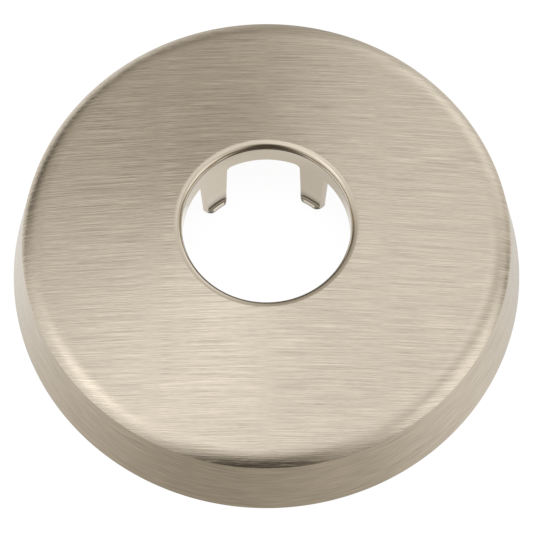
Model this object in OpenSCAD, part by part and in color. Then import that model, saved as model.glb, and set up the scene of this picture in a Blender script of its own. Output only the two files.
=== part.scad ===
// Shower arm flange: a round cover drawn from one piece of sheet metal.
// The Z axis is the pipe's axis. Z = 0 is the wall that the rim stands on, and the face looks along +Z.

/* [Shell] */
// Outside diameter of the rim, where the skirt meets the wall
rim_d = 68; // [60:0.5:90]
// Lean of the skirt from upright, in degrees
skirt_draft = 12.8; // [0:0.1:20]
// Height above the wall where the skirt's line meets the face's line
shoulder_z = 10.85; // [9:0.05:20]
// Rise of the conical face towards the neck, in degrees
face_slope = 8.3; // [0:0.1:14]
// Outside radius of the rounded shoulder between face and skirt
shoulder_r = 2.4; // [1.4:0.1:4]
// Thickness of the sheet
sheet_t = 0.65; // [0.4:0.05:0.8]

/* [Neck] */
// Inside diameter of the neck, a little over the pipe's 21.34
bore_d = 21.8; // [21.5:0.1:27]
// Outside radius of the rolled lip between face and neck
lip_r = 0.95; // [0.9:0.05:2]
// Length of the straight neck below the lip
neck_l = 2.9; // [2:0.1:4]

/* [Spring fingers] */
// Number of fingers round the neck
finger_n = 5; // [4:1:8]
// Turn of the finger pattern about the pipe, in degrees
finger_turn = 2.4; // [0:0.1:90]
// Width of a finger at the neck
finger_root_w = 3.7; // [2.4:0.1:4.6]
// Width of a finger at its hook
finger_tip_w = 3.2; // [2:0.1:4]
// How far a finger's foot stands in from the neck's inside
finger_in = 0.05; // [0.05:0.05:0.5]
// Radius of the corners where a finger grows out of the neck
finger_root_r = 0.8; // [0.3:0.1:1.2]
// Radius of the two corners of a finger's end
finger_tip_r = 0.45; // [0.2:0.05:0.6]
// Space between the fingers' ends and the wall
finger_clear = 0.65; // [0.3:0.05:1.5]
// Inside radius of the hooked end
hook_r = 0.2; // [0.1:0.05:0.6]
// Angle that the end is bent inwards through, in degrees
hook_bend = 114; // [80:1:130]

/* [Hidden] */
$fn = 180;
nickel = [0.76, 0.71, 0.64];

// A cut runs past the metal by this much
past = 1;
rim_r = rim_d / 2;
bore_r = bore_d / 2;
shoulder_x = rim_r - shoulder_z * tan(skirt_draft);

// Whole micrometres, for a size that places both an arc and the line it runs into
function micron(v) = round(v * 1000) / 1000;

// The face's height at a radius, and the height of the lip's centre, which touches both the face and the neck
function face_z(r) = shoulder_z + (shoulder_x - r) * tan(face_slope);
lip_z = micron(face_z(bore_r + lip_r + lip_r * sin(face_slope)) - lip_r * cos(face_slope));
neck_end_z = lip_z - neck_l;

// A finger leans in from halfway down its root corners to its foot, where the hook starts. The hook comes down to
// finger_clear above the wall, and its end is hook_tip_r from the axis
bend_z = neck_end_z - finger_root_r / 2;
foot_r = bore_r - finger_in;
hook_out = hook_r + sheet_t;
hook_z = finger_clear + hook_out;
hook_tip_r = foot_r - hook_r + hook_out * cos(hook_bend);

// Half the width of the window between two fingers, which is punched straight out from the axis
pitch = 360 / finger_n;
function window_half(finger_w) = micron(bore_r * sin(pitch / 2 - asin(finger_w / bore_d)));
window_top = window_half(finger_root_w);
window_low = window_half(finger_tip_w);
window_in = hook_tip_r * cos(pitch / 2);
window_out = bore_r + sheet_t + past;

// The arc at a corner of a hook's end reaches this share of its radius past the end
corner_wrap = 0.9;

function unit(v) = v / norm(v);

// Crossing of the line through p at angle a with the line through q at angle b
function crossing(p, a, q, b) =
    let (u = [cos(a), sin(a)], v = [cos(b), sin(b)])
    p + u * cross(q - p, v) / cross(u, v);

// Corners of the shell's section, drawn in by inset from the outside: neck, skirt, shoulder and lip
function shell_corners(inset, low_z) =
    let (
        skirt = [rim_r - inset / cos(skirt_draft), 0],
        face = [shoulder_x, shoulder_z - inset / cos(face_slope)],
        neck = [bore_r + inset, 0],
        low = [0, low_z],
        up = 90 + skirt_draft,
        in = 180 - face_slope
    )
    [
        [bore_r + inset, low_z],
        crossing(skirt, up, low, 0),
        crossing(skirt, up, face, in),
        crossing(neck, 90, face, in)
    ];

// A convex outline with each corner rounded by its own radius
module rounded(points, radii) {
    n = len(points);
    to_last = [for (i = [0:n - 1]) unit(points[(i + n - 1) % n] - points[i])];
    to_next = [for (i = [0:n - 1]) unit(points[(i + 1) % n] - points[i])];
    half = [for (i = [0:n - 1]) acos(to_last[i] * to_next[i]) / 2];
    polygon([
        for (i = [0:n - 1])
            each radii[i] == 0
                ? [points[i]]
                : [
                    points[i] + to_last[i] * radii[i] / tan(half[i]),
                    points[i] + to_next[i] * radii[i] / tan(half[i])
                ]
    ]);
    for (i = [0:n - 1])
        if (radii[i] > 0)
            translate(points[i] + unit(to_last[i] + to_next[i]) * radii[i] / sin(half[i]))
                circle(r = radii[i]);
}

// Section of the sheet from the rim over the shoulder and the face, then down the neck to where the fingers bend
module shell_section() {
    difference() {
        rounded(shell_corners(0, 0), [0, 0, shoulder_r, lip_r]);
        rounded(shell_corners(sheet_t, -past), [0, 0, shoulder_r - sheet_t, lip_r - sheet_t]);
        translate([bore_r - past, -past])
            square([past + sheet_t, past + bend_z]);
    }
}

// Section of a finger: a straight strip, then the part of a ring that its end is bent through, towards the pipe
module finger_section() {
    reach = hook_out + past;
    polygon([[foot_r, hook_z], [foot_r + sheet_t, hook_z], [bore_r + sheet_t, bend_z], [bore_r, bend_z]]);
    translate([foot_r - hook_r, hook_z])
        intersection() {
            difference() {
                circle(r = hook_out);
                circle(r = hook_r);
            }
            polygon([
                [0, 0],
                [reach, 0],
                [reach, -reach],
                [-reach, -reach],
                reach * [cos(hook_bend), -sin(hook_bend)]
            ]);
        }
}

// Opening between two fingers above their hooks, punched outwards along +X, wider at the hooks than at the neck
module window() {
    corner = [window_top - finger_root_r, neck_end_z - finger_root_r];
    translate([window_in, 0, 0])
        rotate([90, 0, 90])
            linear_extrude(window_out - window_in) {
                polygon([
                    [-window_low, hook_z + hook_out],
                    [window_low, hook_z + hook_out],
                    [window_top, corner[1]],
                    [corner[0], neck_end_z],
                    [-corner[0], neck_end_z],
                    [-window_top, corner[1]]
                ]);
                for (side = [-1, 1])
                    translate([side * corner[0], corner[1]])
                        circle(r = finger_root_r);
            }
}

// Opening between two hooks, cut along Z, with a corner of each hook's end rounded in plan
module hook_window() {
    corner_y = window_low + finger_tip_r;
    corner_x = micron(sqrt(pow(hook_tip_r + corner_wrap * finger_tip_r, 2) - pow(corner_y, 2)));
    end = [corner_x, corner_y] * (1 - finger_tip_r / norm([corner_x, corner_y]));
    translate([0, 0, -past])
        linear_extrude(past + hook_z + hook_out)
            difference() {
                polygon([
                    [window_out, -window_low],
                    [window_out, window_low],
                    [corner_x, window_low],
                    [corner_x, corner_y],
                    end,
                    [end[0], -end[1]],
                    [corner_x, -corner_y],
                    [corner_x, -window_low]
                ]);
                for (side = [-1, 1])
                    translate([corner_x, side * corner_y])
                        circle(r = finger_tip_r);
            }
}

// The whole flange, one sheet: the shell and the ring of fingers turned as one section, then the windows cut
module flange() {
    color(nickel)
        difference() {
            rotate_extrude() {
                shell_section();
                finger_section();
            }
            for (i = [0:finger_n - 1])
                rotate([0, 0, 90 + finger_turn + i * pitch]) {
                    window();
                    hook_window();
                }
        }
}

flange();
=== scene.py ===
"""A shower arm flange for the camera: one drawn sheet of brushed nickel, a pale floor and soft light."""

import logging
import math
from dataclasses import dataclass, field
from enum import Enum

import bmesh
import bpy
from bmesh.types import BMEdge, BMesh, BMFace, BMVert
from mathutils import Matrix, Vector


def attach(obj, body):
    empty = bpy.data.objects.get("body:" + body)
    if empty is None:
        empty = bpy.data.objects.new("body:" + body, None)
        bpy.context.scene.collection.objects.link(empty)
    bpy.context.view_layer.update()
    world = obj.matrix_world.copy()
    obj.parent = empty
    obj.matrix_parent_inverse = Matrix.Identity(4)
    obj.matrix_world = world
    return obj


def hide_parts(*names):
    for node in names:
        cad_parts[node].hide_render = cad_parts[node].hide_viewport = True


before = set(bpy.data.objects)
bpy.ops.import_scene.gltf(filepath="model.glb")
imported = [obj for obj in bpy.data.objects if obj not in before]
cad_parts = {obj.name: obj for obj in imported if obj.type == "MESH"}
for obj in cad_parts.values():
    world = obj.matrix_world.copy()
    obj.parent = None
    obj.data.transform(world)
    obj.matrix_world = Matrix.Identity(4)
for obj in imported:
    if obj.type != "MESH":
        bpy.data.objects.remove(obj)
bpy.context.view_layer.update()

MM = 0.001
NEAR = 0.0001
LOG = logging.getLogger("flange")

Point = tuple[float, float]
Colour = tuple[float, float, float]
Direction = tuple[float, float, float]


class Zone(Enum):
    """Parts of the sheet's surface that have a material of their own, in the order of the material slots; EDGE and TURN
    hold painted shade and END painted light.
    """

    FACE = 0
    SKIRT = 1
    NECK = 2
    INSIDE = 3
    EDGE = 4
    TURN = 5
    END = 6


class SectionPen:
    """Draws the edges of a section into a mesh, in millimetres, across the axis and along it."""

    def __init__(self, mesh: BMesh, start: Point) -> None:
        """Sets the pen down.

        Args:
            mesh: The mesh that takes the edges.
            start: Distance from the axis and height of the first point.
        """
        self.mesh = mesh
        self.tip: BMVert = bmesh.ops.create_vert(mesh, co=self._place(start))["vert"][0]

    @staticmethod
    def _place(point: Point) -> Vector:
        """Gives the place in space of a point of the section."""
        return Vector((point[0], 0.0, point[1]))

    def line(self, end: Point, rows: int = 1) -> None:
        """Draws a straight line.

        Args:
            end: Where the line ends.
            rows: How many edges it is made of.
        """
        step = (self._place(end) - self.tip.co) / rows
        for _ in range(rows):
            self.tip = bmesh.ops.extrude_vert_indiv(self.mesh, verts=[self.tip])["verts"][0]
            bmesh.ops.translate(self.mesh, vec=step, verts=[self.tip])

    def arc(self, centre: Point, turn: float, rows: int) -> None:
        """Draws an arc from where the pen stands.

        Args:
            centre: Centre of the arc.
            turn: Angle of the arc in degrees, positive from outwards towards up.
            rows: How many edges it is made of.
        """
        swept = bmesh.ops.spin(
            self.mesh,
            geom=[self.tip],
            cent=self._place(centre),
            axis=(0.0, -1.0, 0.0),
            angle=math.radians(turn),
            steps=rows,
            use_duplicate=False,
        )
        self.tip = next(part for part in swept["geom_last"] if isinstance(part, BMVert))

    def corner(self, at: Point, toward: Point, radius: float, rows: int, before: int = 1) -> None:
        """Draws a line to a rounded corner, and the corner's arc.

        Args:
            at: Where the two lines would meet.
            toward: A point on the line after the corner.
            radius: Radius of the rounding.
            rows: How many edges the arc is made of.
            before: How many edges the line before it is made of.
        """
        into = (self._place(at) - self.tip.co).normalized()
        out = (self._place(toward) - self._place(at)).normalized()
        turn = math.atan2(into.x * out.z - into.z * out.x, into.dot(out))
        start = self._place(at) - into * radius * math.tan(abs(turn) / 2)
        side = math.copysign(radius, turn)
        self.line((start.x, start.z), before)
        self.arc((start.x - into.z * side, start.z + into.x * side), math.degrees(turn), rows)


@dataclass(frozen=True)
class Shell:
    """The conical face, the rounded shoulder, the crease and the leaning skirt, in millimetres and degrees."""

    rim_d: float = 68.0
    skirt_draft: float = 12.8
    shoulder_z: float = 10.85
    face_slope: float = 8.3
    shoulder_r: float = 5.5
    shoulder_bend: float = 45.0
    crease_z: float = 9.65
    crease_r: float = 0.15
    sheet_t: float = 0.65
    edge_r: float = 0.12

    @property
    def shoulder_x(self) -> float:
        """Distance from the axis to where the skirt's line meets the face's line."""
        return self.rim_d / 2 - self.shoulder_z * math.tan(math.radians(self.skirt_draft))

    def face_z(self, radius: float, inset: float = 0.0) -> float:
        """Gives the height of the face, or of a surface at a depth in the sheet.

        Args:
            radius: Distance from the axis.
            inset: Depth below the outside.

        Returns:
            The height above the wall.
        """
        slope = math.radians(self.face_slope)
        return self.shoulder_z - inset / math.cos(slope) + (self.shoulder_x - radius) * math.tan(slope)

    def rim(self, inset: float = 0.0) -> Point:
        """Gives the foot of the skirt's line at a depth in the sheet."""
        return self.rim_d / 2 - inset / math.cos(math.radians(self.skirt_draft)), 0.0

    def shoulder(self, inset: float = 0.0) -> Point:
        """Gives the corner of the face's line and the line that the shoulder ends in, at a depth in the sheet.

        Args:
            inset: Depth below the outside.

        Returns:
            The corner that the shoulder rounds off.
        """
        radius, height = self.crease(inset)
        bend, rise = math.tan(math.radians(self.shoulder_bend)), math.tan(math.radians(self.face_slope))
        back = (self.face_z(radius, inset) - height) / (bend - rise)
        return radius - back, height + back * bend

    def crease(self, inset: float = 0.0) -> Point:
        """Gives the corner of the shoulder's end and the skirt at a depth in the sheet.

        Args:
            inset: Depth below the outside.

        Returns:
            The corner of the crease.
        """
        lean, bend = math.radians(self.skirt_draft), math.radians(self.shoulder_bend)
        outside = self.rim_d / 2 - self.crease_z * math.tan(lean)
        shift = inset / math.cos(bend) - inset / math.cos(lean) * math.tan(bend)
        drop = shift / (1 - math.tan(lean) * math.tan(bend))
        return outside - inset / math.cos(lean) + drop * math.tan(lean), self.crease_z - drop


@dataclass(frozen=True)
class Neck:
    """The rolled lip and the short straight neck, in millimetres."""

    bore_d: float = 21.8
    lip_r: float = 0.95
    length: float = 2.9

    def lip_z(self, shell: Shell) -> float:
        """Gives the height of the lip's centre, which touches both the face and the neck.

        Args:
            shell: The shell that the lip ends.

        Returns:
            The height above the wall.
        """
        slope = math.radians(shell.face_slope)
        touch = self.bore_d / 2 + self.lip_r * (1 + math.sin(slope))
        return shell.face_z(touch) - self.lip_r * math.cos(slope)

    def end_z(self, shell: Shell) -> float:
        """Gives the height of the neck's end."""
        return self.lip_z(shell) - self.length


@dataclass(frozen=True)
class SpringFingers:
    """The ring of fingers that grow out of the neck and grip the pipe, in millimetres and degrees."""

    count: int = 5
    turn: float = 2.4
    root_w: float = 3.7
    tip_w: float = 3.2
    foot_in: float = 0.05
    root_r: float = 0.8
    tip_r: float = 0.42
    clear: float = 0.65
    hook_r: float = 0.2
    hook_bend: float = 114.0
    end_out_r: float = 0.07
    end_in_r: float = 0.06
    cut_r: float = 0.045
    # outline: width of the painted dark outline round the flat of a finger's end.
    outline: float = 0.07
    root_rows: int = 6
    side_rows: int = 3
    hook_rows: int = 8
    tip_rows: int = 6
    columns: int = 30

    @property
    def pitch(self) -> float:
        """Angle from one finger to the next, in degrees."""
        return 360.0 / self.count

    def window_half(self, finger_w: float, bore_r: float) -> float:
        """Gives half the width of the window that leaves fingers of a width.

        Args:
            finger_w: Width of a finger.
            bore_r: Inside radius of the neck.

        Returns:
            Half the window's width.
        """
        return bore_r * math.sin(math.radians(self.pitch / 2) - math.asin(finger_w / bore_r / 2))


@dataclass
class Flange:
    """The whole flange: one sheet from the rim to the hooked ends of the fingers."""

    name: str = "flange_sheet"
    shell: Shell = Shell()
    neck: Neck = Neck()
    fingers: SpringFingers = SpringFingers()
    columns: int = 360
    arc_rows: int = 18
    face_rows: int = 12
    skirt_rows: int = 5
    crisp: float = 20.0
    column_of: dict[BMVert, int] = field(default_factory=dict)

    def __post_init__(self) -> None:
        """Works out the sizes that the section and the fingers share."""
        shell, neck, fingers = self.shell, self.neck, self.fingers
        self.bore_r = neck.bore_d / 2
        self.back_r = self.bore_r + shell.sheet_t
        self.end_z = neck.end_z(shell)
        self.bend_z = self.end_z - fingers.root_r / 2
        self.hook_out = fingers.hook_r + shell.sheet_t
        self.hook_z = fingers.clear + self.hook_out
        self.hook_x = self.bore_r - fingers.foot_in - fingers.hook_r
        self.low_z = self.hook_z + self.hook_out
        self.window_top = fingers.window_half(fingers.root_w, self.bore_r)
        self.window_low = fingers.window_half(fingers.tip_w, self.bore_r)

    def lean(self, height: float) -> float:
        """Gives how far a finger stands in from the neck at a height."""
        return max(0.0, self.fingers.foot_in * (self.bend_z - height) / (self.bend_z - self.hook_z))

    def draw_section(self, mesh: BMesh) -> None:
        """Draws the closed section of the sheet, from the neck's back round the rim to the fingers.

        Args:
            mesh: The mesh that takes the section.
        """
        shell, neck, t = self.shell, self.neck, self.shell.sheet_t
        lip_under = (self.back_r, shell.face_z(self.back_r, t))
        lip_top = (self.bore_r, shell.face_z(self.bore_r))
        pen = SectionPen(mesh, (self.back_r, self.end_z))
        pen.corner(lip_under, shell.shoulder(t), neck.lip_r - t, self.arc_rows // 2, before=3)
        pen.corner(shell.shoulder(t), shell.crease(t), shell.shoulder_r - t, self.arc_rows // 2, before=self.face_rows)
        pen.corner(shell.crease(t), shell.rim(t), shell.crease_r, 2)
        pen.corner(shell.rim(t), shell.rim(), shell.edge_r, 5, before=self.skirt_rows)
        pen.corner(shell.rim(), shell.crease(), shell.edge_r, 5)
        pen.corner(shell.crease(), shell.shoulder(), shell.crease_r, 4, before=self.skirt_rows)
        pen.corner(shell.shoulder(), lip_top, shell.shoulder_r, self.arc_rows)
        pen.corner(lip_top, (self.bore_r, 0.0), neck.lip_r, self.arc_rows, before=self.face_rows)
        pen.line((self.bore_r, self.end_z), 3)
        self.draw_finger(pen)
        bmesh.ops.remove_doubles(mesh, verts=mesh.verts[:], dist=NEAR)

    def draw_finger(self, pen: SectionPen) -> None:
        """Draws a finger's section down its inside, round its hooked end and up its back.

        Args:
            pen: The pen, which stands at the neck's end.
        """
        fingers = self.fingers
        turns = [math.radians(90.0 * row / fingers.root_rows) for row in range(1, fingers.root_rows + 1)]
        levels = [self.end_z - fingers.root_r * (1 - math.cos(turn)) for turn in turns]
        drop = (levels[-1] - self.low_z) / fingers.side_rows
        levels += [levels[-1] - drop * row for row in range(1, fingers.side_rows + 1)]
        levels.append(self.hook_z)
        for height in levels:
            pen.line((self.bore_r - self.lean(height), height))
        centre = (self.hook_x, self.hook_z)
        inner, outer = fingers.hook_r + fingers.end_in_r, self.hook_out - fingers.end_out_r
        inner_cut = math.degrees(math.asin(fingers.end_in_r / inner))
        outer_cut = math.degrees(math.asin(fingers.end_out_r / outer))
        end = fingers.hook_bend
        pen.arc(centre, self.tip_start - end, fingers.hook_rows)
        for turn in self.tip_turns(inner_cut):
            pen.arc(centre, -turn, 1)
        pen.arc(self.hook_point(inner, end - inner_cut), 90 - inner_cut, 4)
        flat = self.hook_point(outer * math.cos(math.radians(outer_cut)), end)
        start = self.hook_point(inner * math.cos(math.radians(inner_cut)), end)
        share = 1 - fingers.outline / math.dist(start, flat)
        pen.line((start[0] + (flat[0] - start[0]) * share, start[1] + (flat[1] - start[1]) * share), 2)
        pen.line(flat)
        pen.arc(self.hook_point(outer, end - outer_cut), 90 + outer_cut, 4)
        for turn in reversed(self.tip_turns(outer_cut)):
            pen.arc(centre, turn, 1)
        pen.arc(centre, end - self.tip_start, fingers.hook_rows)
        for height in [*reversed(levels[:-1]), self.end_z]:
            pen.line((self.back_r - self.lean(height), height))

    @property
    def tip_start(self) -> float:
        """Angle of the bend that the rounded corners of a finger's end take up, in degrees."""
        return math.degrees(self.fingers.tip_r / (self.fingers.hook_r + self.shell.sheet_t / 2))

    def tip_turns(self, cut: float) -> list[float]:
        """Gives the turns from row to row along the rounded corners of a finger's end.

        Args:
            cut: Angle of the bend that the rounding at the end takes off, in degrees.

        Returns:
            The turns in degrees, which follow even steps of the corner's own arc.
        """
        rows = self.fingers.tip_rows
        left = [self.tip_start * (1 - math.sin(math.radians(90 * row / rows))) for row in range(rows + 1)]
        left = [turn for turn in left if turn > 1.2 * cut] + [cut]
        return [before - after for before, after in zip(left, left[1:])]

    def hook_point(self, reach: float, bend: float) -> Point:
        """Gives a point of the hook.

        Args:
            reach: Distance from the centre of the bend.
            bend: Angle round the bend from its start, in degrees.

        Returns:
            The point in the section.
        """
        angle = math.radians(bend)
        return self.hook_x + reach * math.cos(angle), self.hook_z - reach * math.sin(angle)

    def window_side(self, height: float) -> float:
        """Gives half the width of a window between two fingers.

        Args:
            height: Height above the wall.

        Returns:
            Half the width, which grows round the roots' corners and then towards the hooks.
        """
        root_r = self.fingers.root_r
        corner_z = self.end_z - root_r
        if height > corner_z:
            above = min(root_r, height - corner_z)
            return self.window_top - root_r + math.sqrt(root_r**2 - above**2)
        share = min(1.0, (corner_z - height) / (corner_z - self.low_z))
        return self.window_top + (self.window_low - self.window_top) * share

    def left_to_end(self, radius: float, height: float) -> float:
        """Gives the length of sheet from a place in the hook to the finger's end."""
        bend = math.atan2(self.hook_z - height, radius - self.hook_x)
        middle = self.fingers.hook_r + self.shell.sheet_t / 2
        return max(0.0, (math.radians(self.fingers.hook_bend) - bend) * middle)

    def corner_trim(self, radius: float, height: float) -> float:
        """Gives how much the rounded corner of a hooked end takes off each side.

        Args:
            radius: Distance from the axis.
            height: Height above the wall.

        Returns:
            The width taken off, nothing above the hook.
        """
        left, tip_r = self.left_to_end(radius, height), self.fingers.tip_r
        if height > self.hook_z - NEAR or left >= tip_r:
            return 0.0
        return tip_r - math.sqrt(tip_r**2 - (tip_r - left) ** 2)

    def half_angle(self, radius: float, height: float) -> float:
        """Gives half the width of a finger as an angle about the axis, in radians."""
        window = math.asin(self.window_side(height) / radius)
        return math.radians(self.fingers.pitch / 2) - window - self.corner_trim(radius, height) / radius

    def from_finger(self, column: int) -> int:
        """Gives how many columns a column lies from the middle of the nearest finger."""
        whole = self.columns // self.fingers.count
        return (column + whole // 2) % whole - whole // 2

    def in_fingers(self, vert: BMVert) -> bool:
        """Says whether a point belongs to the ring of fingers or to the neck's end."""
        return vert.co.xy.length < self.back_r + NEAR and vert.co.z < self.end_z + NEAR

    def number_columns(self, mesh: BMesh) -> None:
        """Notes each point's column about the axis, counted from the middle of the first finger."""
        share = self.columns / math.tau
        self.column_of = {v: round(math.atan2(v.co.y, v.co.x) * share) % self.columns for v in mesh.verts}

    def punch_windows(self, mesh: BMesh) -> None:
        """Takes out the columns between the fingers, and gives fingers and windows their outline.

        Args:
            mesh: The mesh, spun about the axis.
        """
        edge = self.fingers.columns // 2
        gone: list[BMFace] = []
        for face in mesh.faces:
            if all(self.in_fingers(vert) for vert in face.verts):
                if max(abs(self.from_finger(self.column_of[vert])) for vert in face.verts) > edge:
                    gone.append(face)
        bmesh.ops.delete(mesh, geom=gone, context="FACES")
        for vert in mesh.verts:
            if self.in_fingers(vert):
                self.fit_column(vert, edge)

    def fit_column(self, vert: BMVert, edge: int) -> None:
        """Turns a point about the axis to its place across a finger or along a window's top.

        Args:
            vert: A point of the ring of fingers.
            edge: The number of columns from a finger's middle to its side.
        """
        radius, height = vert.co.xy.length, vert.co.z
        column = self.column_of[vert]
        offset = self.from_finger(column)
        pitch = math.radians(self.fingers.pitch)
        half = self.half_angle(radius, height)
        if abs(offset) <= edge:
            angle = half * offset / edge
        else:
            middle = self.columns // self.fingers.count // 2
            share = (middle - abs(offset)) / (middle - edge)
            angle = math.copysign(pitch / 2 - (pitch / 2 - half) * share, offset)
        angle += math.tau * (column - offset) / self.columns
        vert.co.x, vert.co.y = radius * math.cos(angle), radius * math.sin(angle)

    def is_back(self, vert: BMVert) -> bool:
        """Says whether a point of a finger lies on the side away from the pipe."""
        radius, height = vert.co.xy.length, vert.co.z
        if height > self.hook_z:
            return radius > self.bore_r + self.shell.sheet_t / 2
        return math.hypot(radius - self.hook_x, height - self.hook_z) > self.hook_out - NEAR

    def is_inner(self, vert: BMVert) -> bool:
        """Says whether a point of a finger lies on the side towards the pipe."""
        radius, height = vert.co.xy.length, vert.co.z
        if height > self.hook_z:
            return radius < self.bore_r + self.shell.sheet_t / 2
        return math.hypot(radius - self.hook_x, height - self.hook_z) < self.fingers.hook_r + NEAR

    def close_windows(self, mesh: BMesh) -> None:
        """Closes the sheet's cut sides round each window, and the sides of the hooked ends.

        Args:
            mesh: The mesh with its windows open.
        """
        whole = self.columns // self.fingers.count
        open_edges = [edge for edge in mesh.edges if edge.is_boundary]
        for window in range(self.fingers.count):
            around: list[BMEdge] = []
            for edge in open_edges:
                columns = [self.column_of[vert] for vert in edge.verts]
                same_side = all(map(self.is_back, edge.verts)) or all(map(self.is_inner, edge.verts))
                if same_side and all(window * whole < column < (window + 1) * whole for column in columns):
                    around.append(edge)
            bmesh.ops.bridge_loops(mesh, edges=around)
        rest = [edge for edge in mesh.edges if edge.is_boundary]
        bmesh.ops.holes_fill(mesh, edges=rest, sides=0)

    def soften_cuts(self, mesh: BMesh) -> None:
        """Breaks the sharp edges that the punch leaves on the fingers and the windows.

        Args:
            mesh: The closed mesh.
        """
        sharp = [
            edge
            for edge in mesh.edges
            if all(self.in_fingers(vert) for vert in edge.verts) and edge.calc_face_angle() > math.radians(50)
        ]
        bmesh.ops.bevel(
            mesh,
            geom=sharp,
            offset=self.fingers.cut_r,
            offset_type="OFFSET",
            segments=2,
            profile=0.5,
            affect="EDGES",
            clamp_overlap=True,
            material=-1,
        )

    @property
    def first_turn(self) -> float:
        """Turn of the finger that the columns are counted from, in degrees."""
        return 90 + self.fingers.turn - self.fingers.pitch / 2

    def across_finger(self, middle: Vector) -> float:
        """Gives how far a place lies from the middle of the nearest finger, across the finger."""
        pitch = self.fingers.pitch
        turn = math.degrees(math.atan2(middle.y, middle.x)) - self.first_turn
        return abs(math.radians((turn + pitch / 2) % pitch - pitch / 2)) * middle.xy.length

    def rounds_end(self, middle: Vector, normal: Vector) -> bool:
        """Says whether a face rounds the outline of a finger's end, which takes painted shade.

        Args:
            middle: The middle of the face.
            normal: The face's normal.

        Returns:
            True between the flat end and the surfaces that it ends.
        """
        radius, left = middle.xy.length, self.left_to_end(middle.xy.length, middle.z)
        if middle.z > self.hook_z - NEAR or radius > self.back_r or left > self.fingers.tip_r:
            return False
        across = (normal.x * middle.x + normal.y * middle.y) / radius
        around = abs(normal.x * middle.y - normal.y * middle.x) / radius
        bend = math.radians(self.fingers.hook_bend)
        facing = -across * math.sin(bend) - normal.z * math.cos(bend)
        reach = math.hypot(radius - self.hook_x, middle.z - self.hook_z)
        if facing > 0.97:
            beside = self.fingers.tip_w / 2 - self.fingers.tip_r - self.fingers.outline
            low = reach > self.hook_out - self.fingers.end_out_r - self.fingers.outline
            return low or self.across_finger(middle) > beside
        return facing > 0.1 and (left < 2 * self.fingers.end_in_r or around > 0.2)

    def rounds_lip(self, radius: float, height: float) -> bool:
        """Says whether a place lies where the lip turns down into the neck, which takes painted shade."""
        above = height - self.neck.lip_z(self.shell)
        return radius < self.bore_r + 0.5 * self.neck.lip_r and -0.30 < above / self.neck.lip_r < 0.85

    def zone(self, face: BMFace) -> Zone:
        """Finds the finish of a face.

        Args:
            face: A face of the finished sheet, in millimetres.

        Returns:
            The zone of the sheet's surface that it lies in.
        """
        middle = face.calc_center_median()
        radius = middle.xy.length
        outward = Vector((middle.x, middle.y, 0.0)).normalized()
        across = face.normal.dot(outward)
        around = abs(face.normal.x * outward.y - face.normal.y * outward.x)
        # Painted shade: a dark line where the lip turns into the neck, and a dark outline round each finger's end.
        if self.rounds_end(middle, face.normal) or across < 0 and self.rounds_lip(radius, middle.z):
            return Zone.TURN
        if radius < self.back_r + 2 * NEAR and middle.z < self.end_z + self.fingers.cut_r:
            top = middle.z > self.end_z - self.fingers.root_r and face.normal.z < -0.4
            # The faces at a finger's very end take a colour lighter than the nickel: painted light.
            if self.corner_trim(radius, middle.z) > 0.9 * self.fingers.tip_r:
                return Zone.END
            # EDGE faces take a colour darker than the nickel: painted shade.
            return Zone.EDGE if around > 0.4 or top else Zone.NECK
        # The rim's rounded edge also takes the painted shade of the cut faces.
        if middle.z < self.shell.edge_r:
            return Zone.EDGE
        if across < 0 and face.normal.z < -0.1 or across > 0.5 and radius < self.bore_r + 2 * self.neck.lip_r:
            return Zone.INSIDE
        if radius < self.bore_r + self.neck.lip_r or across < 0:
            return Zone.NECK
        return Zone.SKIRT if middle.z < self.shell.crease_z else Zone.FACE

    def build(self) -> bpy.types.Object:
        """Builds the sheet as one closed mesh.

        Returns:
            The object, in metres, with a material index for each zone.
        """
        mesh = bmesh.new()
        self.draw_section(mesh)
        bmesh.ops.spin(
            mesh,
            geom=mesh.verts[:] + mesh.edges[:],
            cent=(0.0, 0.0, 0.0),
            axis=(0.0, 0.0, 1.0),
            angle=math.tau,
            steps=self.columns,
            use_merge=True,
            use_duplicate=False,
        )
        self.number_columns(mesh)
        self.punch_windows(mesh)
        self.close_windows(mesh)
        bmesh.ops.recalc_face_normals(mesh, faces=mesh.faces[:])
        self.soften_cuts(mesh)
        turned = Matrix.Rotation(math.radians(self.first_turn), 3, "Z")
        bmesh.ops.rotate(mesh, verts=mesh.verts[:], matrix=turned)
        for face in mesh.faces:
            face.smooth = True
            face.material_index = self.zone(face).value
        for edge in mesh.edges:
            edge.smooth = edge.calc_face_angle(0.0) < math.radians(self.crisp)
        LOG.info("sheet: %d faces, %d open edges", len(mesh.faces), sum(not e.is_manifold for e in mesh.edges))
        bmesh.ops.scale(mesh, vec=(MM, MM, MM), verts=mesh.verts[:])
        data = bpy.data.meshes.new(self.name)
        mesh.to_mesh(data)
        mesh.free()
        piece = bpy.data.objects.new(self.name, data)
        bpy.context.scene.collection.objects.link(piece)
        weighted = piece.modifiers.new("even_normals", "WEIGHTED_NORMAL")
        weighted.keep_sharp = True
        return piece

    def dress(self, piece: bpy.types.Object, finishes: dict[Zone, "Finish"]) -> None:
        """Gives the sheet its finishes and its place in the frame.

        Args:
            piece: The built sheet.
            finishes: The finish of each zone.
        """
        for zone in Zone:
            piece.data.materials.append(finishes[zone].build(self))
        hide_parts("flange")
        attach(piece, "root")
        LOG.info("%s stands for the solid flange", piece.name)


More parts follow.
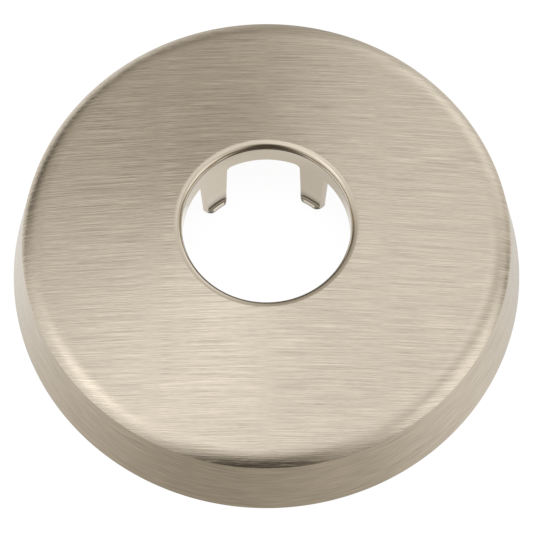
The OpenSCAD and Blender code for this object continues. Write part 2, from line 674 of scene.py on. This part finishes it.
class Tree:
    """Adds nodes to the node tree of a material or of the world."""

    def __init__(self, tree: bpy.types.NodeTree) -> None:
        """Empties the tree."""
        self.tree = tree
        tree.nodes.clear()

    def node(self, kind: str, settings: dict | None = None, inputs: dict | None = None, output: int | str = 0):
        """Adds a node: its settings first, then its inputs.

        Args:
            kind: The node's type.
            settings: Properties of the node by name.
            inputs: Numbers, colours or outputs for its sockets, by name or place.
            output: Which output to give back.

        Returns:
            That output, or nothing for a node that has none.
        """
        made = self.tree.nodes.new(kind)
        for name, value in (settings or {}).items():
            setattr(made, name, value)
        for key, value in (inputs or {}).items():
            value = value.socket if isinstance(value, Field) else value
            if isinstance(value, bpy.types.NodeSocket):
                self.tree.links.new(value, made.inputs[key])
            else:
                made.inputs[key].default_value = value
        return made.outputs[output] if made.outputs else None

    def field(self, kind: str, settings: dict | None = None, inputs: dict | None = None, output: int | str = 0):
        """Adds a node and gives its output as a number that takes Python's operators."""
        return Field(self, self.node(kind, settings, inputs, output))


class Field:
    """A number that varies from place to place. An operator on it adds the Math node."""

    def __init__(self, tree: Tree, socket: bpy.types.NodeSocket) -> None:
        """Keeps the tree and the output that gives the number."""
        self.tree = tree
        self.socket = socket

    def maths(self, operation: str, *terms: "Field | float") -> "Field":
        """Adds a Math node on these terms."""
        return self.tree.field("ShaderNodeMath", {"operation": operation}, dict(enumerate(terms)))

    def __add__(self, other: "Field | float") -> "Field":
        """Adds."""
        return self.maths("ADD", self, other)

    def __sub__(self, other: "Field | float") -> "Field":
        """Subtracts."""
        return self.maths("SUBTRACT", self, other)

    def __rsub__(self, other: float) -> "Field":
        """Subtracts from a number."""
        return self.maths("SUBTRACT", other, self)

    def __mul__(self, other: "Field | float") -> "Field":
        """Multiplies."""
        return self.maths("MULTIPLY", self, other)

    def __truediv__(self, other: "Field | float") -> "Field":
        """Divides."""
        return self.maths("DIVIDE", self, other)

    def __rtruediv__(self, other: float) -> "Field":
        """Divides a number."""
        return self.maths("DIVIDE", other, self)

    __radd__ = __add__
    __rmul__ = __mul__

    def root(self) -> "Field":
        """Takes the square root."""
        return self.maths("SQRT", self)

    def at_least(self, other: "Field | float") -> "Field":
        """Takes the larger of the two."""
        return self.maths("MAXIMUM", self, other)

    def smooth(self, low: float, high: float, start: float = 0.0, end: float = 1.0) -> "Field":
        """Eases from one value to another.

        Args:
            low: Where the change starts.
            high: Where the change ends.
            start: The value before it.
            end: The value after it.

        Returns:
            The eased number.
        """
        return self.tree.field(
            "ShaderNodeMapRange",
            {"interpolation_type": "SMOOTHSTEP", "clamp": True},
            {0: self, 1: low, 2: high, 3: start, 4: end},
        )


@dataclass(frozen=True)
class Marks:
    """One layer of fine marks in the metal: their length and width in millimetres, and how strong they are."""

    length: float
    width: float
    weight: float
    seed: float = 0.0
    detail: float = 2.0

    def layer(self, tree: Tree, places: tuple) -> Field:
        """Adds the layer's noise.

        Args:
            tree: The material's tree.
            places: Two coordinates along the marks and one across them, in millimetres.

        Returns:
            The marks, centred on zero.
        """
        first, second, across = places
        vector = tree.node(
            "ShaderNodeCombineXYZ",
            {},
            {0: first / self.length + self.seed, 1: second / self.length, 2: across / self.width},
        )
        noise = tree.field(
            "ShaderNodeTexNoise", {"noise_dimensions": "3D"}, {"Vector": vector, "Scale": 1.0, "Detail": self.detail}
        )
        return (noise - 0.5) * self.weight


@dataclass(frozen=True)
class Finish:
    """Plated nickel: its colour, its gloss, and marks that vary the colour, the gloss and the relief."""

    name: str
    colour: Colour
    roughness: float
    marks: tuple[Marks, ...]
    tone: float = 0.2
    gloss: float = 0.1
    relief: float = 0.002

    def places(self, tree: Tree, flange: Flange) -> tuple:
        """Gives the coordinates that the marks follow, here the same in every direction.

        Args:
            tree: The material's tree.
            flange: The flange, for its sizes.

        Returns:
            Two coordinates along the marks and one across them, in millimetres.
        """
        return self.object_places(tree)

    def shade(self, tree: Tree, flange: Flange, colour: bpy.types.NodeSocket) -> bpy.types.NodeSocket:
        """Changes the colour over the zone, here not at all.

        Args:
            tree: The material's tree.
            flange: The flange, for its sizes.
            colour: The colour with its marks.

        Returns:
            The colour that the shader takes.
        """
        return colour

    @staticmethod
    def object_places(tree: Tree) -> tuple[Field, Field, Field]:
        """Gives the object's own coordinates in millimetres."""
        where = tree.node("ShaderNodeTexCoord", output="Object")
        split = tree.node("ShaderNodeSeparateXYZ", {}, {0: where}).node
        return tuple(Field(tree, split.outputs[axis]) / MM for axis in range(3))

    def build(self, flange: Flange) -> bpy.types.Material:
        """Builds the material.

        Args:
            flange: The flange, for its sizes.

        Returns:
            The material.
        """
        material = bpy.data.materials.new(self.name)
        material.use_nodes = True
        tree = Tree(material.node_tree)
        places = self.places(tree, flange)
        layers = [mark.layer(tree, places) for mark in self.marks]
        total = layers[0]
        for layer in layers[1:]:
            total = total + layer
        dark = (*(part * (1 - self.tone) for part in self.colour), 1.0)
        light = (*(part * (1 + self.tone) for part in self.colour), 1.0)
        colour = tree.node(
            "ShaderNodeMix", {"data_type": "RGBA", "clamp_factor": True}, {0: total + 0.5, 6: dark, 7: light}, 2
        )
        colour = self.shade(tree, flange, colour)
        normal = tree.node("ShaderNodeBump", {}, {"Strength": 1.0, "Distance": self.relief * MM, "Height": total})
        shader = tree.node(
            "ShaderNodeBsdfPrincipled",
            {},
            {
                "Base Color": colour,
                "Metallic": 1.0,
                "Roughness": total * self.gloss + self.roughness,
                "Normal": normal,
            },
        )
        tree.node("ShaderNodeOutputMaterial", {}, {"Surface": shader})
        return material


@dataclass(frozen=True)
class ShadedFinger(Finish):
    """A satin wall with painted shade that darkens it towards the hooks."""

    # Share of black in the painted shade at the hooks, and the height over which it fades out.
    painted_shade: float = 0.5
    painted_shade_height: float = 2.2

    def shade(self, tree: Tree, flange: Flange, colour: bpy.types.NodeSocket) -> bpy.types.NodeSocket:
        """Paints shade into the colour towards the hooks.

        Args:
            tree: The material's tree.
            flange: The flange, for its sizes.
            colour: The colour with its marks.

        Returns:
            The colour with its painted shade.
        """
        height = self.object_places(tree)[2]
        # Painted shade: dark at the hooks, fading out upwards.
        share = height.smooth(flange.hook_z, flange.hook_z + self.painted_shade_height, self.painted_shade, 0.0)
        black = (0.0, 0.0, 0.0, 1.0)
        return tree.node("ShaderNodeMix", {"data_type": "RGBA"}, {0: share, 6: colour, 7: black}, 2)


@dataclass(frozen=True)
class DarkTurn(Finish):
    """Painted shade in the turn between lip and neck, widest on the far side, and a painted dark outline round the
    fingers' ends.
    """

    # The nickel above the turn, and the heights, in shares of the lip's radius, where the painted shade ends.
    bright: Colour = (0.70, 0.62, 0.505)
    near_top: float = 0.16
    far_rise: float = 0.32
    front_rise: float = 0.62
    blur: float = 0.06

    def shade(self, tree: Tree, flange: Flange, colour: bpy.types.NodeSocket) -> bpy.types.NodeSocket:
        """Clears the painted shade above the turn.

        Args:
            tree: The material's tree.
            flange: The flange, for its sizes.
            colour: The dark colour of the painted shade, with its marks.

        Returns:
            The colour, bright above the turn.
        """
        x, y, z = self.object_places(tree)
        above = (z - flange.neck.lip_z(flange.shell)) / flange.neck.lip_r
        back = y / (x * x + y * y).root()
        rise = back.smooth(0.80, 1.0, 0.0, self.far_rise) + back.smooth(-0.8, 0.2, self.front_rise, 0.0)
        share = (above - rise).smooth(self.near_top - self.blur, self.near_top + self.blur)
        return tree.node("ShaderNodeMix", {"data_type": "RGBA"}, {0: share, 6: colour, 7: (*self.bright, 1.0)}, 2)


@dataclass(frozen=True)
class StraightBrushing(Finish):
    """Brushing in straight lines across the face, which bends down over the shoulder."""

    def places(self, tree: Tree, flange: Flange) -> tuple:
        """Gives the coordinates of the sheet laid flat.

        Args:
            tree: The material's tree.
            flange: The flange, for its sizes.

        Returns:
            The coordinate along the brushing, nothing, and the one across it.
        """
        x, y, z = self.object_places(tree)
        radius = (x * x + y * y).root()
        shell = flange.shell
        level = shell.face_z(0.0) - radius * math.tan(math.radians(shell.face_slope))
        flat = 1.0 + (level - z).at_least(0.0) / radius
        along, across = x * flat, y * flat
        sway = Marks(length=40.0, width=14.0, weight=0.12, seed=7.0).layer(tree, (along, 0.0 * along, across))
        return along, 0.0 * along, across + sway


@dataclass(frozen=True)
class RoundBrushing(Finish):
    """Brushing round the skirt."""

    def places(self, tree: Tree, flange: Flange) -> tuple:
        """Gives the coordinates round the skirt and down it.

        Args:
            tree: The material's tree.
            flange: The flange, for its sizes.

        Returns:
            Two coordinates round the axis and the height.
        """
        return self.object_places(tree)


@dataclass(frozen=True)
class SoftPanel:
    """A soft light of the studio that the metal mirrors, fading out between two angles from its middle."""

    toward: Direction = (0.0, 0.0, 1.0)
    inner: float = 20.0
    outer: float = 60.0
    light: float = 1.0

    def shine(self, tree: Tree, direction: bpy.types.NodeSocket) -> Field:
        """Adds the panel's light.

        Args:
            tree: The world's tree.
            direction: The direction that is looked in.

        Returns:
            The light from the panel in that direction.
        """
        facing = tree.field(
            "ShaderNodeVectorMath",
            {"operation": "DOT_PRODUCT"},
            {0: direction, 1: tuple(Vector(self.toward).normalized())},
            "Value",
        )
        fade = facing.smooth(math.cos(math.radians(self.outer)), math.cos(math.radians(self.inner)))
        return fade * self.light


@dataclass
class Studio:
    """The pale floor, the soft light round it and the camera, in metres and degrees."""

    floor_size: float = 3.0
    floor_white: float = 0.96
    floor_paint: float = 0.8
    ambient: float = 0.067
    dim_hue: tuple[float, ...] = (1.12, 1.0, 0.82, 1.0)
    panels: tuple[SoftPanel, ...] = (
        SoftPanel(toward=(0.251, -0.141, 0.958), inner=1.0, outer=48.1, light=0.87),
        SoftPanel(toward=(-0.751, -0.249, 0.611), inner=1.8, outer=18.5, light=0.46),
        SoftPanel(toward=(-0.864, -0.263, 0.428), inner=1.4, outer=55.4, light=0.88),
        SoftPanel(toward=(0.922, -0.290, 0.256), inner=1.0, outer=33.5, light=1.08),
        SoftPanel(toward=(0.658, 0.624, 0.422), inner=1.0, outer=46.2, light=0.70),
        SoftPanel(toward=(-0.255, 0.683, 0.685), inner=16.8, outer=43.7, light=0.38),
        SoftPanel(toward=(0.448, 0.890, -0.087), inner=1.0, outer=40.6, light=0.47),
        SoftPanel(toward=(0.537, -0.725, 0.431), inner=1.3, outer=23.8, light=0.49),
        SoftPanel(toward=(-0.347, -0.486, 0.802), inner=6.5, outer=27.2, light=0.42),
        SoftPanel(toward=(-0.323, 0.152, 0.934), inner=1.0, outer=25.0, light=0.36),
    )
    floor_level: float = 0.358
    floor_glow: tuple[SoftPanel, ...] = (
        SoftPanel(toward=(-0.866, 0.500, 0.0), inner=0.5, outer=71.5, light=0.26),
        SoftPanel(toward=(-0.986, 0.168, 0.0), inner=37.3, outer=84.0, light=0.25),
        SoftPanel(toward=(0.995, 0.096, 0.0), inner=36.8, outer=110.0, light=0.21),
        SoftPanel(toward=(0.990, 0.138, 0.0), inner=40.0, outer=74.2, light=0.19),
    )
    hole_left: float = 0.80
    hole_right: float = 0.65
    hole_side: float = 0.30
    hole_blend: float = 0.0015
    hole_ring: tuple[float, float] = (0.0090, 0.0115)
    hole_reach: float = 0.0200
    floor_drop: float = 0.00002
    lamp_height: float = 0.6
    lamp_size: float = 0.5
    lamp_power: float = 5.0
    camera_distance: float = 0.26365
    camera_height: float = 65.970
    camera_dip: float = 0.0375
    camera_lens: float = 132.27
    camera_sensor: float = 36.0

    def hue(self, tree: Tree, light: Field) -> bpy.types.NodeSocket:
        """Gives light its colour: white where it is full, and warmer the dimmer it is.

        Args:
            tree: The tree of the world or the floor.
            light: How strong the light is.

        Returns:
            The colour.
        """
        missing = (1.0 - light).at_least(0.0)
        dim = missing.maths("POWER", missing, 1.5)
        return tree.node("ShaderNodeMix", {"data_type": "RGBA"}, {0: dim, 6: (1.0, 1.0, 1.0, 1.0), 7: self.dim_hue}, 2)

    def light_world(self) -> None:
        """Lights the world with the soft panels."""
        world = bpy.data.worlds.new("studio")
        world.use_nodes = True
        bpy.context.scene.world = world
        tree = Tree(world.node_tree)
        direction = tree.node("ShaderNodeTexCoord", output="Generated")
        light = self.panels[0].shine(tree, direction) + self.ambient
        for panel in self.panels[1:]:
            light = light + panel.shine(tree, direction)
        rays = tree.node("ShaderNodeLightPath").node
        plain = Field(tree, rays.outputs["Is Camera Ray"]).at_least(Field(tree, rays.outputs["Is Transmission Ray"]))
        shown = light + (1.0 - light) * plain
        back = tree.node("ShaderNodeBackground", {}, {"Color": self.hue(tree, shown), "Strength": shown})
        tree.node("ShaderNodeOutputWorld", {}, {"Surface": back})

    def lay_floor(self) -> bpy.types.Object:
        """Lays the floor that the rim stands on.

        Returns:
            The floor.
        """
        mesh = bmesh.new()
        bmesh.ops.create_grid(mesh, x_segments=1, y_segments=1, size=self.floor_size / 2)
        bmesh.ops.translate(mesh, vec=(0.0, 0.0, -self.floor_drop), verts=mesh.verts[:])
        data = bpy.data.meshes.new("floor")
        mesh.to_mesh(data)
        mesh.free()
        floor = bpy.data.objects.new("floor", data)
        bpy.context.scene.collection.objects.link(floor)
        material = bpy.data.materials.new("pale_floor")
        material.use_nodes = True
        tree = Tree(material.node_tree)
        rays = tree.node("ShaderNodeLightPath").node
        camera = Field(tree, rays.outputs["Is Camera Ray"])
        glossy = Field(tree, rays.outputs["Is Glossy Ray"])
        through = Field(tree, rays.outputs["Is Transmission Ray"])
        place = tree.node("ShaderNodeTexCoord", output="Object")
        away = tree.node("ShaderNodeVectorMath", {"operation": "NORMALIZE"}, {0: place})
        mirrored = self.floor_glow[0].shine(tree, away) + self.floor_level
        for glow in self.floor_glow[1:]:
            mirrored = mirrored + glow.shine(tree, away)
        out = tree.field("ShaderNodeVectorMath", {"operation": "LENGTH"}, {0: place}, "Value")
        beside = Field(tree, tree.node("ShaderNodeSeparateXYZ", {}, {0: place}))
        hole = beside.smooth(-self.hole_blend, self.hole_blend, self.hole_left, self.hole_right)
        hole = hole + out.smooth(*self.hole_ring, 0.0, self.hole_side)
        mirrored = mirrored + (hole - mirrored) * out.smooth(self.hole_reach * 0.8, self.hole_reach, 1.0, 0.0)
        strength = mirrored * glossy + (1.0 - glossy)
        white = tree.node("ShaderNodeEmission", {}, {"Color": self.hue(tree, strength), "Strength": strength})
        paint = tree.node("ShaderNodeBsdfDiffuse", {}, {"Color": (*(self.floor_paint,) * 3, 1.0)})
        share = camera.at_least(through) * self.floor_white + glossy
        mixed = tree.node("ShaderNodeMixShader", {}, {0: share, 1: paint, 2: white})
        below = Field(tree, tree.node("ShaderNodeNewGeometry").node.outputs["Backfacing"])
        clear = tree.node("ShaderNodeBsdfTransparent")
        shown = tree.node("ShaderNodeMixShader", {}, {0: below, 1: mixed, 2: clear})
        tree.node("ShaderNodeOutputMaterial", {}, {"Surface": shown})
        data.materials.append(material)
        return floor

    def hang_lamp(self) -> bpy.types.Object:
        """Hangs the wide lamp that gives the floor the object's soft shadow.

        Returns:
            The lamp.
        """
        data = bpy.data.lights.new("wide_lamp", "AREA")
        data.shape = "DISK"
        data.size = self.lamp_size
        data.energy = self.lamp_power
        lamp = bpy.data.objects.new("wide_lamp", data)
        lamp.location = (0.0, 0.0, self.lamp_height)
        lamp.visible_glossy = False
        bpy.context.scene.collection.objects.link(lamp)
        return lamp

    def place_camera(self) -> bpy.types.Object:
        """Places the camera in front of the flange, looking down at it.

        Returns:
            The camera.
        """
        height = math.radians(self.camera_height)
        data = bpy.data.cameras.new("camera")
        data.lens = self.camera_lens
        data.sensor_width = self.camera_sensor
        data.clip_start = self.camera_distance / 10
        camera = bpy.data.objects.new("camera", data)
        camera.location = (0.0, -self.camera_distance * math.cos(height), self.camera_distance * math.sin(height))
        camera.rotation_euler = (math.radians(90.0 - self.camera_height - self.camera_dip), 0.0, 0.0)
        bpy.context.scene.collection.objects.link(camera)
        bpy.context.scene.camera = camera
        return camera

    def set_up(self) -> None:
        """Sets up the whole studio."""
        bpy.context.scene.view_settings.view_transform = "Standard"
        self.light_world()
        self.lay_floor()
        self.hang_lamp()
        self.place_camera()


NICKEL: Colour = (0.70, 0.62, 0.505)

FINISHES: dict[Zone, Finish] = {
    Zone.FACE: StraightBrushing(
        "brushed_face",
        NICKEL,
        0.18,
        (
            Marks(length=14.0, width=0.09, weight=0.9, seed=1.0, detail=1.0),
            Marks(length=5.0, width=0.055, weight=0.75, seed=2.0, detail=0.0),
            Marks(length=1.2, width=0.055, weight=0.35, seed=10.0, detail=0.0),
            Marks(length=20.0, width=1.2, weight=0.06, seed=3.0),
        ),
        tone=0.42,
        relief=0.012,
    ),
    Zone.SKIRT: RoundBrushing(
        "brushed_skirt",
        (0.70, 0.61, 0.485),
        0.20,
        (
            Marks(length=5.0, width=0.14, weight=1.0, seed=4.0, detail=1.0),
            Marks(length=2.5, width=0.08, weight=0.6, seed=5.0, detail=0.0),
        ),
        tone=0.30,
        relief=0.012,
    ),
    # Painted shade: the neck's colour darkens towards the hooks.
    Zone.NECK: ShadedFinger("satin_neck_and_painted_shade", NICKEL, 0.16, (Marks(length=0.3, width=0.3, weight=0.3, seed=6.0),), relief=0.0005),
    Zone.INSIDE: Finish(
        "plated_inside",
        (0.62, 0.55, 0.45),
        0.42,
        (Marks(length=0.5, width=0.5, weight=0.4), Marks(length=6.0, width=6.0, weight=0.6)),
    ),
    # Painted light: the ends' colour is lighter than the nickel itself.
    Zone.END: Finish("painted_light_end", (0.86, 0.78, 0.66), 0.2, (Marks(length=0.3, width=0.3, weight=0.3),), relief=0.0005),
    # Painted shade: the cut faces take a colour darker than the nickel, to dim what they mirror.
    Zone.EDGE: Finish("cut_edge_painted_shade", (0.53, 0.465, 0.38), 0.22, (Marks(length=0.3, width=0.3, weight=0.3, seed=8.0),), relief=0.0005),
    # Painted shade: a near-black line in the lip's turn and round the fingers' ends.
    Zone.TURN: DarkTurn("painted_shade_turn", (0.12, 0.10, 0.077), 0.16, (Marks(length=0.3, width=0.3, weight=0.3, seed=9.0),)),
}


def main() -> None:
    """Builds the flange, dresses it and sets up the studio."""
    logging.basicConfig(level=logging.INFO)
    flange = Flange()
    flange.dress(flange.build(), FINISHES)
    Studio().set_up()


if __name__ == "__main__":
    main()
